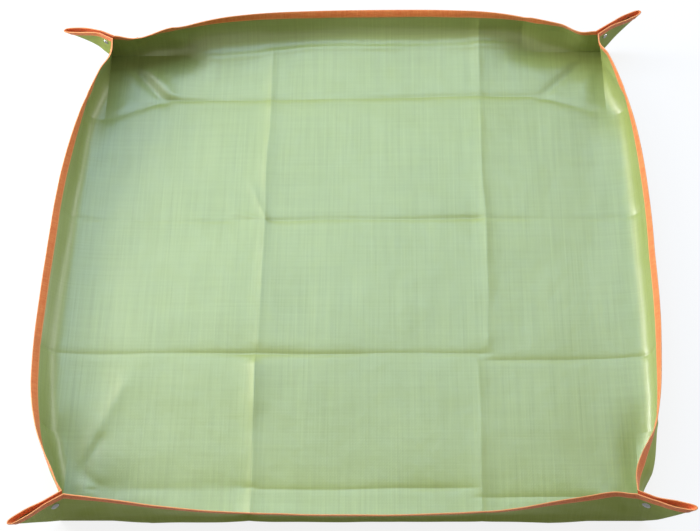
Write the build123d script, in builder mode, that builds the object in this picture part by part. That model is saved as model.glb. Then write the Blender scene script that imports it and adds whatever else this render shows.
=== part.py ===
"""Square repotting mat of coated woven sheet, snapped up at its four corners into a shallow tray.

The sheet is shown as it folds: a floor, four walls that stand up along its edges, and at each corner a
flap of two layers, folded on the corner's diagonal and held shut by a press stud. A bound edge of tape runs
round the whole rim. Origin: middle of the floor's underside. +X is right, +Y is the back, +Z is up.
Millimetres and degrees.
"""

import os
from math import asin, atan2, cos, degrees, radians, sin, sqrt

from build123d import *

os.makedirs("parts", exist_ok=True)

# Sheet
mat_side = 1000.0  # cut size of the square sheet
wall_height = 75.0  # strip of the sheet that stands up along each edge
sheet_thickness = 0.5
fold_clearance = 0.1  # between the floor's edge and the wall that turns beside it
floor_corner_radius = 5.0

# Snapped corners
pinch_draw = 16.0  # how far a snapped corner leans in over the floor, along each edge
fold_radius = 1.5  # half the gap between the layers of a flap at its folded edge
layer_spread = 1.5  # angle by which each layer opens away from the middle of the flap
# Bare strip on each side of the line where a flap layer leaves its wall, wider where the fold runs out of line
hinge_clearance = {"outer": 0.55, "inner": 4.2}
fold_inset = 0.3  # edge of a layer to the line that it folds on
flap_toe = 4.0  # height above the floor at which a flap layer starts

# Direction of each flap, from the X axis towards the front or the back
flap_turn = {"front_left": 34.0, "front_right": 24.0, "back_left": 25.0, "back_right": 34.0}

# Walls in order round the tray: outward lean of the rim at its middle, how far the bow is shifted towards
# the wall's far end, and the power by which it falls off towards both ends
rim_bow = {"front": 21.5, "right": 48.0, "back": 55.0, "left": 61.0}
bow_shift = {"front": -0.05, "right": -0.03, "back": -0.2, "left": 0.28}
bow_fullness = {"front": 2.3, "right": 2.7, "back": 1.8, "left": 2.4}
bow_stations = 9  # sections between the two snapped ends of a wall

# Edge binding, a tape folded over the rim
tape_width = 11.0  # on each face of the sheet
tape_thickness = 0.6
tape_clearance = 0.15

# Press studs
snap_out = 12.0  # from the line where the flap leaves its wall
snap_down = 22.0  # below the sheet's edge
shank_radius = 1.7
shank_clearance = 0.15
cap_radius = 6.25
cap_dome = 1.5
cap_edge = 0.5
socket_radius = 5.2
socket_roof = 0.7
socket_mouth_radius = 3.05
stud_flange_radius = 5.0
stud_flange = 0.8
stud_neck_radius = 2.3
stud_head_radius = 2.65
post_radius = 4.8
post_dome = 0.9
post_taper = 30.0  # slope of the dome's side, from the post's axis
seat_clearance = 0.05  # metal to the sheet that it is riveted through
snap_play = 0.34  # stud to socket, with room for the slant between the layers

# Worked out from the sizes above
floor_half = mat_side / 2 - wall_height
sheet_level = sheet_thickness / 2  # height of the middle of the sheet where it lies on the ground
rim_reach = floor_half - pinch_draw
corner_rise = sqrt(wall_height**2 - pinch_draw**2)
hinge_slope = pinch_draw / wall_height  # of the line where a flap leaves its wall, along the rim
shank_hole_radius = shank_radius + shank_clearance
seat_face = sheet_thickness / 2 + seat_clearance  # middle of a layer to the metal on it
snap_to_fold = ((wall_height - snap_down) * (1 + hinge_slope) - snap_out) / sqrt(2)
snap_gap = 2 * (fold_radius * cos(radians(layer_spread)) + snap_to_fold * sin(radians(layer_spread)))
socket_height = snap_gap - 2 * seat_face - stud_flange - snap_play
stud_height = socket_height - socket_roof - snap_play

UP = Vector(0, 0, 1)


def save(part, name):
    """Label a finished piece and write it as its own file."""
    part.label = name
    export_step(part, f"parts/{name}.step")


def turned(plane, about_x=0.0, about_z=0.0):
    """Copy of a plane, turned about its own X or Z direction."""
    return Plane(plane.location * Rotation(about_x, 0, about_z))


# Places of the corners


def corner_signs(corner):
    """Signs of X and Y at a corner."""
    return (-1 if "left" in corner else 1), (-1 if "front" in corner else 1)


def corner_foot(corner):
    """Corner of the floor, where two fold lines meet."""
    sign_x, sign_y = corner_signs(corner)
    return Vector(sign_x * floor_half, sign_y * floor_half, sheet_level)


def corner_line(corner):
    """Unit vector up the line in which two snapped walls meet."""
    sign_x, sign_y = corner_signs(corner)
    return Vector(-sign_x * pinch_draw, -sign_y * pinch_draw, corner_rise).normalized()


def flap_plane(corner):
    """Middle plane of a flap: origin at the floor's corner, X along its folded edge, Y towards the walls."""
    sign_x, sign_y = corner_signs(corner)
    line = corner_line(corner)
    level = Vector(sign_x, 0, 0).rotate(Axis.Z, sign_x * sign_y * flap_turn[corner])
    square = (level - line * level.dot(line)).normalized()
    slope = atan2(pinch_draw, wall_height)
    up_the_sheet = line * cos(slope) + square * sin(slope)
    along_the_rim = square * cos(slope) - line * sin(slope)
    folded_edge = up_the_sheet + along_the_rim
    towards_walls = up_the_sheet - along_the_rim
    return Plane(corner_foot(corner), x_dir=folded_edge, z_dir=folded_edge.cross(towards_walls))


def layer_plane(corner, layer):
    """Middle of one layer of a flap. The outer layer is on the front or back wall's side of the flap."""
    middle = flap_plane(corner)
    outer_side = 1 if middle.z_dir.Y * corner_signs(corner)[1] > 0 else -1
    side = outer_side if layer == "outer" else -outer_side
    return turned(middle, about_x=side * layer_spread).offset(side * fold_radius)


def outward_side(corner, layer):
    """+1 where a layer's plane normal points out of the flap, and -1 where it points into it."""
    towards = layer_plane(corner, layer).origin - corner_foot(corner)
    return 1 if towards.dot(layer_plane(corner, layer).z_dir) > 0 else -1


def on_layer(along_rim, up):
    """Point of a layer, by its distances along the rim and up the sheet from the floor's corner."""
    return (along_rim + up) / sqrt(2), (up - along_rim) / sqrt(2)


def beside_hinge(out, up):
    """Point of a layer, by its distance out from the line where it leaves its wall and its distance up."""
    return on_layer(out - hinge_slope * up, up)


def layer_hinge(corner, layer):
    """Foot and rim end of the line in which a layer leaves its wall."""
    plane = layer_plane(corner, layer)
    return plane.origin, plane.from_local_coords(Vector(*beside_hinge(0, wall_height)))


# Places along the walls


def wall_axes(wall):
    """Unit vectors along a wall and outward from the tray."""
    turn = 90 * list(rim_bow).index(wall)
    return Vector(1, 0, 0).rotate(Axis.Z, turn), Vector(0, -1, 0).rotate(Axis.Z, turn)


def wall_layer(wall):
    """Layer of the flaps that a wall runs into."""
    return "outer" if wall in ("front", "back") else "inner"


def wall_ends(wall):
    """Hinge lines of the flap layers at a wall's near end and its far end."""
    along, _ = wall_axes(wall)
    corners = [corner for corner in flap_turn if wall in corner]
    corners.sort(key=lambda corner: corner_foot(corner).dot(along))
    return [layer_hinge(corner, wall_layer(wall)) for corner in corners]


def wall_lean(wall, place):
    """Outward lean of a wall in degrees, at a place along its fold."""
    _, outward = wall_axes(wall)
    near, far = (degrees(asin((rim.dot(outward) - floor_half) / wall_height)) for _, rim in wall_ends(wall))
    share = max(-1.0, min(1.0, place / rim_reach))
    end = near * (1 - share) / 2 + far * (1 + share) / 2
    middle = degrees(asin(rim_bow[wall] / wall_height))
    return end + (middle - end) * (1 - abs(share) ** bow_fullness[wall]) * (1 + bow_shift[wall] * share)


def wall_section(wall, place):
    """Plane across a wall with its origin on the fold, X out of the wall and Y up its slope."""
    along, outward = wall_axes(wall)
    foot = outward * floor_half + along * place + UP * sheet_level
    return turned(Plane(foot, x_dir=outward, z_dir=-along), about_z=-wall_lean(wall, place))


def wall_stations():
    """Places of a wall's sections: its straight ends, and the bow between them."""
    bow = [rim_reach * (2 * step / (bow_stations + 1) - 1) for step in range(bow_stations + 2)]
    return [-floor_half, *bow, floor_half]


def wall_end_planes(wall):
    """Planes that cut a wall off beside its two flaps, with their normals pointing away from the wall."""
    along, _ = wall_axes(wall)
    planes = []
    for sign, (foot, rim) in zip((-1, 1), wall_ends(wall)):
        across = wall_section(wall, sign * floor_half).x_dir
        normal = across.cross(rim - foot).normalized()
        if normal.dot(along) * sign < 0:
            normal = -normal
        planes.append(Plane(foot - normal * hinge_clearance[wall_layer(wall)], z_dir=normal))
    return planes


def tape_outline():
    """Section of the binding, a U over the sheet's edge, as distances across the sheet and up it."""
    inside = sheet_thickness / 2 + tape_clearance
    outside = inside + tape_thickness
    hem = wall_height - tape_width
    slot = wall_height + tape_clearance
    crown = slot + tape_thickness
    right = [(inside, slot), (inside, hem), (outside, hem), (outside, crown)]
    left = [(-across, up) for across, up in reversed(right)]
    return right + left


# Floor

floor_edge = floor_half - sheet_thickness / 2 - fold_clearance
with BuildPart() as floor:
    with BuildSketch():
        RectangleRounded(2 * floor_edge, 2 * floor_edge, floor_corner_radius)
    extrude(amount=sheet_thickness)
save(floor.part, "floor")

# Walls and the binding along their rims

for wall_name in rim_bow:
    near_cut, far_cut = wall_end_planes(wall_name)
    with BuildPart() as wall:
        for station in wall_stations():
            with BuildSketch(wall_section(wall_name, station)):
                with Locations((0, wall_height / 2)):
                    Rectangle(sheet_thickness, wall_height)
        loft()
        split(bisect_by=near_cut, keep=Keep.BOTTOM)
        split(bisect_by=far_cut, keep=Keep.BOTTOM)
    save(wall.part, f"{wall_name}_wall")

    with BuildPart() as wall_tape:
        for station in wall_stations():
            with BuildSketch(wall_section(wall_name, station)):
                with BuildLine():
                    Polyline(*tape_outline(), close=True)
                make_face()
        loft()
        split(bisect_by=near_cut, keep=Keep.BOTTOM)
        split(bisect_by=far_cut, keep=Keep.BOTTOM)
    save(wall_tape.part, f"{wall_name}_binding")

# Corner flaps, their binding and their press studs

snap_place = beside_hinge(snap_out, wall_height - snap_down)
tape_end = wall_height + tape_clearance + tape_thickness
for corner_name in flap_turn:
    for layer_name in ("outer", "inner"):
        sheet_plane = layer_plane(corner_name, layer_name)
        clearance = hinge_clearance[layer_name]
        with BuildPart() as flap_layer:
            with BuildSketch(sheet_plane):
                with BuildLine():
                    Polyline(
                        beside_hinge(clearance, flap_toe),
                        beside_hinge(clearance, wall_height),
                        on_layer(wall_height - fold_inset, wall_height),
                        on_layer(flap_toe - fold_inset, flap_toe),
                        close=True,
                    )
                make_face()
                with Locations(snap_place):
                    Circle(shank_hole_radius, mode=Mode.SUBTRACT)
            extrude(amount=sheet_thickness / 2, both=True)
        save(flap_layer.part, f"{corner_name}_flap_{layer_name}")

        tape_start = clearance - hinge_slope * (wall_height - tape_width)
        tape_foot = sheet_plane.from_local_coords(Vector(*on_layer(tape_end, 0)))
        rim_direction = sheet_plane.x_dir - sheet_plane.y_dir
        mitre = Plane(sheet_plane.origin + sheet_plane.y_dir * fold_inset, z_dir=sheet_plane.y_dir)
        with BuildPart() as flap_tape:
            with BuildSketch(Plane(tape_foot, x_dir=sheet_plane.z_dir, z_dir=-rim_direction)):
                with BuildLine():
                    Polyline(*tape_outline(), close=True)
                make_face()
            extrude(amount=tape_end - tape_start)
            split(bisect_by=mitre, keep=Keep.TOP)
        save(flap_tape.part, f"{corner_name}_binding_{layer_name}")

    # Cap and socket are riveted through the outer layer. Z points out of the flap.
    outer = layer_plane(corner_name, "outer")
    outer_normal = outer.z_dir * outward_side(corner_name, "outer")
    cap_seat = Plane(outer.from_local_coords(Vector(*snap_place)), z_dir=outer_normal)
    roof = -seat_face - socket_roof
    with BuildPart() as cap:
        with BuildSketch(Plane(cap_seat.origin, x_dir=cap_seat.x_dir, z_dir=-cap_seat.y_dir)):
            with BuildLine():
                brim = Line((cap_radius, seat_face), (cap_radius, seat_face + cap_edge))
                crown = Line((0, roof), (0, seat_face + cap_dome))
                TangentArc(crown @ 1, brim @ 1, tangent=(1, 0))
                Polyline(crown @ 0, (shank_radius, roof), (shank_radius, seat_face), brim @ 0)
            make_face()
        revolve(axis=Axis(cap_seat.origin, cap_seat.z_dir))
    save(cap.part, f"{corner_name}_snap_cap")

    with BuildPart() as socket:
        with BuildSketch(cap_seat.offset(-seat_face)):
            Circle(socket_radius)
        extrude(amount=-socket_height)
        with BuildSketch(cap_seat.offset(-seat_face)):
            Circle(shank_hole_radius)
        extrude(amount=-socket_height, mode=Mode.SUBTRACT)
        with BuildSketch(cap_seat.offset(roof)):
            Circle(socket_mouth_radius)
        extrude(amount=-socket_height, mode=Mode.SUBTRACT)
    save(socket.part, f"{corner_name}_snap_socket")

    # Stud and post are riveted through the inner layer. Z points into the flap, towards the socket.
    inner = layer_plane(corner_name, "inner")
    inner_normal = inner.z_dir * -outward_side(corner_name, "inner")
    stud_seat = Plane(inner.from_local_coords(Vector(*snap_place)), z_dir=inner_normal)
    flange_top = seat_face + stud_flange
    head_top = flange_top + stud_height
    with BuildPart() as stud:
        with BuildSketch(Plane(stud_seat.origin, x_dir=stud_seat.x_dir, z_dir=-stud_seat.y_dir)):
            with BuildLine():
                Polyline(
                    (shank_hole_radius, head_top),
                    (shank_hole_radius, seat_face),
                    (stud_flange_radius, seat_face),
                    (stud_flange_radius, flange_top),
                    (stud_neck_radius, flange_top),
                    (stud_head_radius, (flange_top + head_top) / 2),
                    (stud_neck_radius, head_top),
                    close=True,
                )
            make_face()
        revolve(axis=Axis(stud_seat.origin, stud_seat.z_dir))
    save(stud.part, f"{corner_name}_snap_stud")

    with BuildPart() as post:
        with BuildSketch(stud_seat.offset(-seat_face)):
            Circle(post_radius)
        extrude(amount=-post_dome, taper=post_taper)
        with BuildSketch(stud_seat.offset(-seat_face)):
            Circle(shank_radius)
        extrude(amount=seat_face + head_top)
    save(post.part, f"{corner_name}_snap_post")
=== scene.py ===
"""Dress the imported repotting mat: coated woven sheet, sewn edge binding, stitches and press studs.

Metres and degrees, in the frame of the CAD model: the origin is in the middle of the floor's underside, +X is
right, +Y is the back and +Z is up. The sheet is one cut square, so every piece of it knows its places on the
flat cut. The creases and the weave follow those places, and run on from piece to piece.
"""

from __future__ import annotations

import logging
import math
from dataclasses import dataclass
from enum import Enum
from typing import Callable

import bpy
import numpy as np
from mathutils import Matrix, Vector

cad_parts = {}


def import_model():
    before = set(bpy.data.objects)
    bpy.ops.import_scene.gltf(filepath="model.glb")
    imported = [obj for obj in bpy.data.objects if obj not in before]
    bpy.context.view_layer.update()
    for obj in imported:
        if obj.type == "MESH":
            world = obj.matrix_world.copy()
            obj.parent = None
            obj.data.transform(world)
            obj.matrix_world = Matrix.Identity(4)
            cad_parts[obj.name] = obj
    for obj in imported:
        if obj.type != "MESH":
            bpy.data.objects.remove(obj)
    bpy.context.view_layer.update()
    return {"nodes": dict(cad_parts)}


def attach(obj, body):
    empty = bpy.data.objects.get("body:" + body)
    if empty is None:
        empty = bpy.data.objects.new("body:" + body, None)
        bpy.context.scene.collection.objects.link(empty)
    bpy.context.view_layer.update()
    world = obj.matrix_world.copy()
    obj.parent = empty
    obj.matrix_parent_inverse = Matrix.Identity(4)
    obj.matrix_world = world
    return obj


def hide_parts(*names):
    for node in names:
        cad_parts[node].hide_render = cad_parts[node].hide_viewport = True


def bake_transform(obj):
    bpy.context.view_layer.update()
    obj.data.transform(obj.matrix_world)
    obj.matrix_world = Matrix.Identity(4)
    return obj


LOG = logging.getLogger("repotting_mat")
FLAT_MAP = "flat_cut"
ROOT_TWO = math.sqrt(2.0)
UPWARD = np.array([0.0, 0.0, 1.0])
WHITE = (1.0, 1.0, 1.0, 1.0)

Place = Callable[[np.ndarray, np.ndarray], tuple[np.ndarray, np.ndarray]]
Surface = Callable[[np.ndarray, np.ndarray, np.ndarray], np.ndarray]
Colour = tuple[float, float, float, float]


# Sizes and named choices


@dataclass(frozen=True)
class MatSizes:
    """Sizes of the mat, as in the CAD source."""

    cut_side: float = 1.0
    wall_height: float = 0.075
    sheet_thickness: float = 0.0005
    pinch_draw: float = 0.016
    fold_radius: float = 0.0015
    layer_spread: float = 1.5
    tape_width: float = 0.011
    tape_half: float = 0.00095
    tape_crown: float = 0.0008

    @property
    def floor_half(self) -> float:
        """Half the side of the floor."""
        return self.cut_side / 2 - self.wall_height

    @property
    def level(self) -> float:
        """Height of the middle of the sheet where it lies on the ground."""
        return self.sheet_thickness / 2

    @property
    def hinge_slope(self) -> float:
        """Slope, along the rim, of the line where a flap leaves its wall."""
        return self.pinch_draw / self.wall_height


SIZES = MatSizes()


class Corner(Enum):
    """Snapped corners: label, signs of X and Y, the flap's direction from the X axis and its tip's droop."""

    FRONT_LEFT = ("front_left", -1, -1, 34.0, (0.004, 0.001, 0.0))
    FRONT_RIGHT = ("front_right", 1, -1, 24.0, (-0.004, 0.008, 0.005))
    BACK_LEFT = ("back_left", -1, 1, 25.0, (-0.004, -0.018, -0.011))
    BACK_RIGHT = ("back_right", 1, 1, 34.0, (0.0, -0.008, -0.005))

    def __init__(
        self, label: str, sign_x: int, sign_y: int, flap_turn: float, droop: tuple[float, float, float]
    ) -> None:
        """Take the corner's values in the order given above."""
        self.label = label
        self.sign_x = sign_x
        self.sign_y = sign_y
        self.flap_turn = flap_turn
        self.droop = droop


class Layer(Enum):
    """Layers of a flap. The outer one runs on from the front or back wall, the inner one from the side."""

    OUTER = "outer"
    INNER = "inner"


class Wall(Enum):
    """Walls of the tray.

    Each has its label, its quarter turns from the front, its rim's bow, the bow's shift and fullness, the
    fold's reach up the wall, and the height to which it lifts the floor's edge, with that lift's reach.
    """

    FRONT = ("front", 0, 0.0215, -0.05, 2.3, 0.018, 0.0030, 0.050)
    RIGHT = ("right", 1, 0.048, -0.03, 2.7, 0.072, 0.0050, 0.060)
    BACK = ("back", 2, 0.055, -0.20, 1.8, 0.075, 0.0030, 0.095)
    LEFT = ("left", 3, 0.061, 0.28, 2.4, 0.070, 0.0040, 0.050)

    def __init__(
        self,
        label: str,
        turns: int,
        bow: float,
        shift: float,
        fullness: float,
        reach: float,
        lift: float,
        lift_reach: float,
    ) -> None:
        """Take the wall's values in the order given above."""
        self.label = label
        self.turns = turns
        self.bow = bow
        self.shift = shift
        self.fullness = fullness
        self.reach = reach
        self.lift = lift
        self.lift_reach = lift_reach

    @property
    def along(self) -> np.ndarray:
        """Unit vector along the wall."""
        return np.array([(1, 0, 0), (0, 1, 0), (-1, 0, 0), (0, -1, 0)][self.turns], float)

    @property
    def outward(self) -> np.ndarray:
        """Unit vector out of the tray."""
        return np.array([(0, -1, 0), (1, 0, 0), (0, 1, 0), (-1, 0, 0)][self.turns], float)

    @property
    def layer(self) -> Layer:
        """Layer of the flaps that the wall runs into."""
        return Layer.OUTER if self.label in ("front", "back") else Layer.INNER

    def inside(self, flat: np.ndarray) -> np.ndarray:
        """Distances of flat places from the wall's fold, above 0 on the floor and below 0 on the wall."""
        return SIZES.floor_half - flat @ self.outward[:2]

    def run(self, flat: np.ndarray) -> np.ndarray:
        """Distances of flat places along the wall from its middle."""
        return flat @ self.along[:2]


@dataclass(frozen=True)
class WallEnd:
    """How a wall's rim leaves a snapped corner."""

    ease: float = 0.0  # share of half the wall over which the rim stays drawn in
    belly: float = 0.0  # depth to which the wall swells out below the rim
    fuller: float = 0.0  # added to the fullness of the wall's bow
    curl: float = 0.0  # depth to which the rim rolls into the tray
    lift: float = 0.0  # added to the lift of the floor's edge
    draw: float = 0.0  # distance by which the wall's foot is drawn into the tray


WALL_ENDS = {
    (Wall.FRONT, 1.0): WallEnd(0.10, curl=0.004),
    (Wall.RIGHT, -1.0): WallEnd(0.26, 0.020),
    (Wall.RIGHT, 1.0): WallEnd(0.10, 0.003, curl=0.002),
    (Wall.BACK, -1.0): WallEnd(0.14, 0.006, curl=0.005, lift=0.006),
    (Wall.BACK, 1.0): WallEnd(0.22, 0.008, curl=0.007, lift=0.006, draw=0.026),
    (Wall.LEFT, -1.0): WallEnd(0.16, 0.010, curl=0.005),
    (Wall.LEFT, 1.0): WallEnd(0.0, 0.007, 0.45, 0.002),
}


def wall_ends(wall: Wall) -> tuple[tuple[float, WallEnd], ...]:
    """Near and far end of a wall, each with its sign along the wall."""
    return tuple((sign, WALL_ENDS.get((wall, sign), WallEnd())) for sign in (-1.0, 1.0))


class Zone(Enum):
    """Lengths of a wall, each of which bends on the fold in its own way."""

    NEAR = "near"
    MIDDLE = "middle"
    FAR = "far"


class Slot(Enum):
    """Names for material slots."""

    SHEET = "coated_sheet"
    BINDING = "edge_binding"
    SNAP = "snap_metal"


# Small sums


def smooth(share: np.ndarray) -> np.ndarray:
    """Ease a share from 0 to 1, flat at both ends."""
    share = np.clip(share, 0.0, 1.0)
    return share * share * (3.0 - 2.0 * share)


def unit(vectors: np.ndarray) -> np.ndarray:
    """Scale vectors to length 1."""
    return vectors / np.maximum(np.linalg.norm(vectors, axis=-1, keepdims=True), 1e-12)


def lattice_noise(flat: np.ndarray, scale: float, seed: int) -> np.ndarray:
    """Smooth noise over the flat cut.

    Args:
        flat: Places on the flat cut, one row each.
        scale: Distance between two lattice points.
        seed: Seed of the lattice's values.

    Returns:
        Values from -1 to 1.
    """
    size, shift = 96, 17.3
    table = np.random.default_rng(seed).uniform(-1.0, 1.0, (size, size))
    cell = flat / scale + shift
    low = np.floor(cell).astype(int)
    part = cell - low
    ease = part**3 * (part * (part * 6.0 - 15.0) + 10.0)
    x0, y0 = low[:, 0] % size, low[:, 1] % size
    x1, y1 = (x0 + 1) % size, (y0 + 1) % size
    front = table[x0, y0] * (1 - ease[:, 0]) + table[x1, y0] * ease[:, 0]
    back = table[x0, y1] * (1 - ease[:, 0]) + table[x1, y1] * ease[:, 0]
    return front * (1 - ease[:, 1]) + back * ease[:, 1]


# Creases


@dataclass(frozen=True)
class PackFold:
    """Straight crease that folding for storage has left across a stretch of the sheet."""

    across: int  # 0 where the crease has one X, 1 where it has one Y
    place: float
    height: float  # below 0 for a valley
    low: float
    high: float
    wander: int
    broad: float = 0.030
    sharp: float = 0.0042

    drift, drift_scale = 0.003, 0.11  # from the straight line
    change, change_scale = 0.5, 0.07  # of the height along the crease
    end_fade = 0.03
    swell_share, swell_round = 0.45, 0.003
    edge_share, edge_round = 0.75, 0.0005

    def rise(self, flat: np.ndarray) -> np.ndarray:
        """Height of the crease.

        Args:
            flat: Places on the flat cut, one row each.

        Returns:
            One height for each row.
        """
        run = flat[:, 1 - self.across]
        along = np.stack([run, np.zeros(len(flat))], axis=1)
        drift = self.drift * lattice_noise(along, self.drift_scale, self.wander)
        offset = flat[:, self.across] - self.place - drift
        uneven = 1.0 + self.change * lattice_noise(along, self.change_scale, self.wander + 50)
        ends = smooth((run - self.low) / self.end_fade) * smooth((self.high - run) / self.end_fade)
        swell = np.exp(-np.hypot(offset, self.swell_round) / self.broad)
        edge = np.exp(-np.hypot(offset, self.edge_round) / self.sharp)
        return self.height * uneven * ends * (self.swell_share * swell + self.edge_share * edge)


@dataclass(frozen=True)
class PressedCrease:
    """Short sharp crease between two places on the flat cut."""

    start: tuple[float, float]
    end: tuple[float, float]
    height: float
    width: float = 0.005

    rounding = 0.0008

    def rise(self, flat: np.ndarray) -> np.ndarray:
        """Height of the crease.

        Args:
            flat: Places on the flat cut, one row each.

        Returns:
            One height for each row.
        """
        start = np.array(self.start)
        run = np.array(self.end) - start
        share = np.clip((flat - start) @ run / run.dot(run), 0.0, 1.0)
        distance = np.linalg.norm(flat - start - share[:, None] * run, axis=1)
        return self.height * np.exp(-np.hypot(distance, self.rounding) / self.width)


@dataclass(frozen=True)
class CreaseMap:
    """Height of the sheet's creases and waves, by its places on the flat cut."""

    folds: tuple[PackFold, ...] = (
        PackFold(0, -0.143, 0.0022, -0.157, 0.5, 1, broad=0.016, sharp=0.011),
        PackFold(0, -0.147, 0.0032, -0.5, -0.150, 2, broad=0.020, sharp=0.013),
        PackFold(0, 0.213, 0.0018, -0.157, 0.5, 3, broad=0.016, sharp=0.010),
        PackFold(0, 0.194, 0.0024, -0.5, -0.157, 4, broad=0.014, sharp=0.009),
        PackFold(1, 0.331, -0.0027, -0.34, 0.33, 5),
        PackFold(1, 0.086, -0.0010, -0.5, -0.143, 6),
        PackFold(1, 0.088, -0.0027, -0.16, 0.225, 7),
        PackFold(1, 0.086, -0.0013, 0.20, 0.5, 8),
        PackFold(1, -0.155, -0.0026, -0.5, 0.225, 9),
        PackFold(1, -0.165, -0.0024, 0.19, 0.5, 10),
        PackFold(1, -0.375, -0.0032, -0.40, -0.13, 21),
        PackFold(1, -0.376, -0.0028, -0.16, 0.20, 22),
        PackFold(1, -0.389, -0.0024, 0.17, 0.39, 23),
        PackFold(1, 0.434, 0.0022, -0.37, 0.36, 24, broad=0.010),
    )
    pressed: tuple[PressedCrease, ...] = (
        PressedCrease((0.316, 0.329), (0.415, 0.297), -0.0030),
        PressedCrease((-0.325, 0.326), (-0.430, 0.289), -0.0032),
        PressedCrease((0.316, 0.329), (0.400, 0.414), -0.0045),
        PressedCrease((-0.325, 0.326), (-0.400, 0.412), -0.0055, 0.006),
        PressedCrease((-0.312, 0.340), (-0.366, 0.402), 0.0050, 0.008),
        PressedCrease((-0.438, -0.326), (-0.403, -0.352), -0.0034),
        PressedCrease((-0.403, -0.352), (-0.377, -0.297), -0.0030, 0.007),
        PressedCrease((-0.392, -0.358), (-0.370, -0.374), -0.0030),
        PressedCrease((-0.168, 0.152), (-0.143, 0.090), 0.0014, 0.006),
        PressedCrease((-0.190, 0.100), (-0.143, 0.087), 0.0014, 0.006),
        PressedCrease((-0.348, -0.206), (-0.399, -0.322), 0.0026, 0.018),
        PressedCrease((-0.385, 0.436), (-0.372, 0.490), -0.0040, 0.009),
    )
    base: float = 0.0034
    waves: tuple[tuple[float, float, int], ...] = (
        (0.26, 0.0014, 11),
        (0.13, 0.0009, 12),
        (0.062, 0.0005, 13),
        (0.031, 0.00022, 14),
    )
    floor_limit: float = 0.0006
    pull_height: float = 0.0016
    pull_start: float = 0.05
    pull_reach: float = 0.11
    fan_creases: float = 8.0  # in a whole turn about a corner
    fan_twist: float = 9.0  # radians for each metre from the corner
    fan_shift: tuple[float, float] = (1.3, 0.6)  # sets each corner's fan apart from the others
    foot_ease: float = 0.03  # distance from a corner at which the sheet is creased
    mitre: float = 0.03  # distance from a corner's diagonal at which a lifted edge has its whole height
    lift_end: float = 0.07  # distance up a wall at which it is back on its own line
    end_lift: tuple[float, float] = (0.10, 0.14)  # start along a wall of an end's own lift, and its run
    grip: float = 0.04  # distance from a corner's folds at which the creases have their whole height
    slack: float = 0.10  # distance from a corner's folds at which the floor lies loose
    held: tuple[float, float] = (0.20, 0.11)  # distance from a corner at which folds are free, and run
    draw_rise: tuple[float, float] = (0.06, 0.10)  # distance from a corner at which a draw starts, and run
    draw_fall: tuple[float, float] = (0.17, 0.18)  # the same for its end
    draw_reach: float = 0.12  # over the floor

    def height(self, flat: np.ndarray) -> np.ndarray:
        """Height of the sheet above where it would lie smooth.

        Args:
            flat: Places on the flat cut, one row each.

        Returns:
            Heights of at least 0.
        """
        rise = np.full(len(flat), self.base)
        for crease in (*self.folds, *self.pressed):
            rise += crease.rise(flat)
        for scale, height, seed in self.waves:
            rise += height * lattice_noise(flat, scale, seed)
        for corner in Corner:
            rise += self.pull(flat, corner)
        return self.floor_limit * np.logaddexp(0.0, rise / self.floor_limit) * self.loose(flat, self.grip)

    def loose(self, flat: np.ndarray, reach: float) -> np.ndarray:
        """Share to which places may leave the fold lines, on which the walls turn beside the corners.

        Args:
            flat: Places on the flat cut, one row each.
            reach: Distance over the floor at which a place is free.

        Returns:
            One share for each row.
        """
        share = np.ones(len(flat))
        for wall in Wall:
            inside = wall.inside(flat)
            gap = SIZES.floor_half - np.abs(wall.run(flat))
            beside = 1.0 - smooth(np.where(inside > 0, inside / reach, -inside / self.grip))
            share *= 1.0 - beside * smooth((self.held[0] - gap) / self.held[1])
        return share

    def beside_foot(self, foot: np.ndarray) -> np.ndarray:
        """Share of the creases' height, by the two distances of a place from a corner of the floor."""
        return smooth(np.linalg.norm(foot, axis=1) / self.foot_ease)

    def pull(self, flat: np.ndarray, corner: Corner) -> np.ndarray:
        """Creases that fan out over the floor and the walls from a pinched corner.

        Args:
            flat: Places on the flat cut, one row each.
            corner: The corner.

        Returns:
            One height for each row.
        """
        signs = np.array([corner.sign_x, corner.sign_y])
        away = flat - signs * SIZES.floor_half
        distance = np.linalg.norm(away, axis=1)
        turn = np.arctan2(away[:, 1] * corner.sign_y, away[:, 0] * corner.sign_x)
        fan = np.cos(self.fan_creases * turn + signs.dot(self.fan_shift) + self.fan_twist * distance)
        fade = np.exp(-((distance / self.pull_reach) ** 2)) * smooth(distance / self.pull_start)
        return self.pull_height * fan * fade

    def lifted(self, flat: np.ndarray) -> np.ndarray:
        """Height to which the walls lift the floor's edges, mitred on the corners' diagonals.

        Args:
            flat: Places on the flat cut, one row each.

        Returns:
            One height for each row.
        """
        rise = np.zeros(len(flat))
        start, run = self.end_lift
        for wall in Wall:
            inside = wall.inside(flat)
            gap = SIZES.floor_half - np.abs(wall.run(flat))
            over = np.clip(1.0 - inside / wall.lift_reach, 0.0, 1.0) ** 2
            up = (1.0 - 2.0 * inside / wall.lift_reach) * (1.0 - smooth(-inside / self.lift_end))
            share = np.clip((gap - np.maximum(inside, 0.0)) / self.mitre, 0.0, 1.0)
            most = np.full(len(flat), wall.lift)
            for sign, end in wall_ends(wall):
                most += end.lift * smooth((sign * wall.run(flat) - start) / run)
            rise += most * share * np.where(inside >= 0, over, up)
        return rise * self.loose(flat, self.slack)

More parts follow.
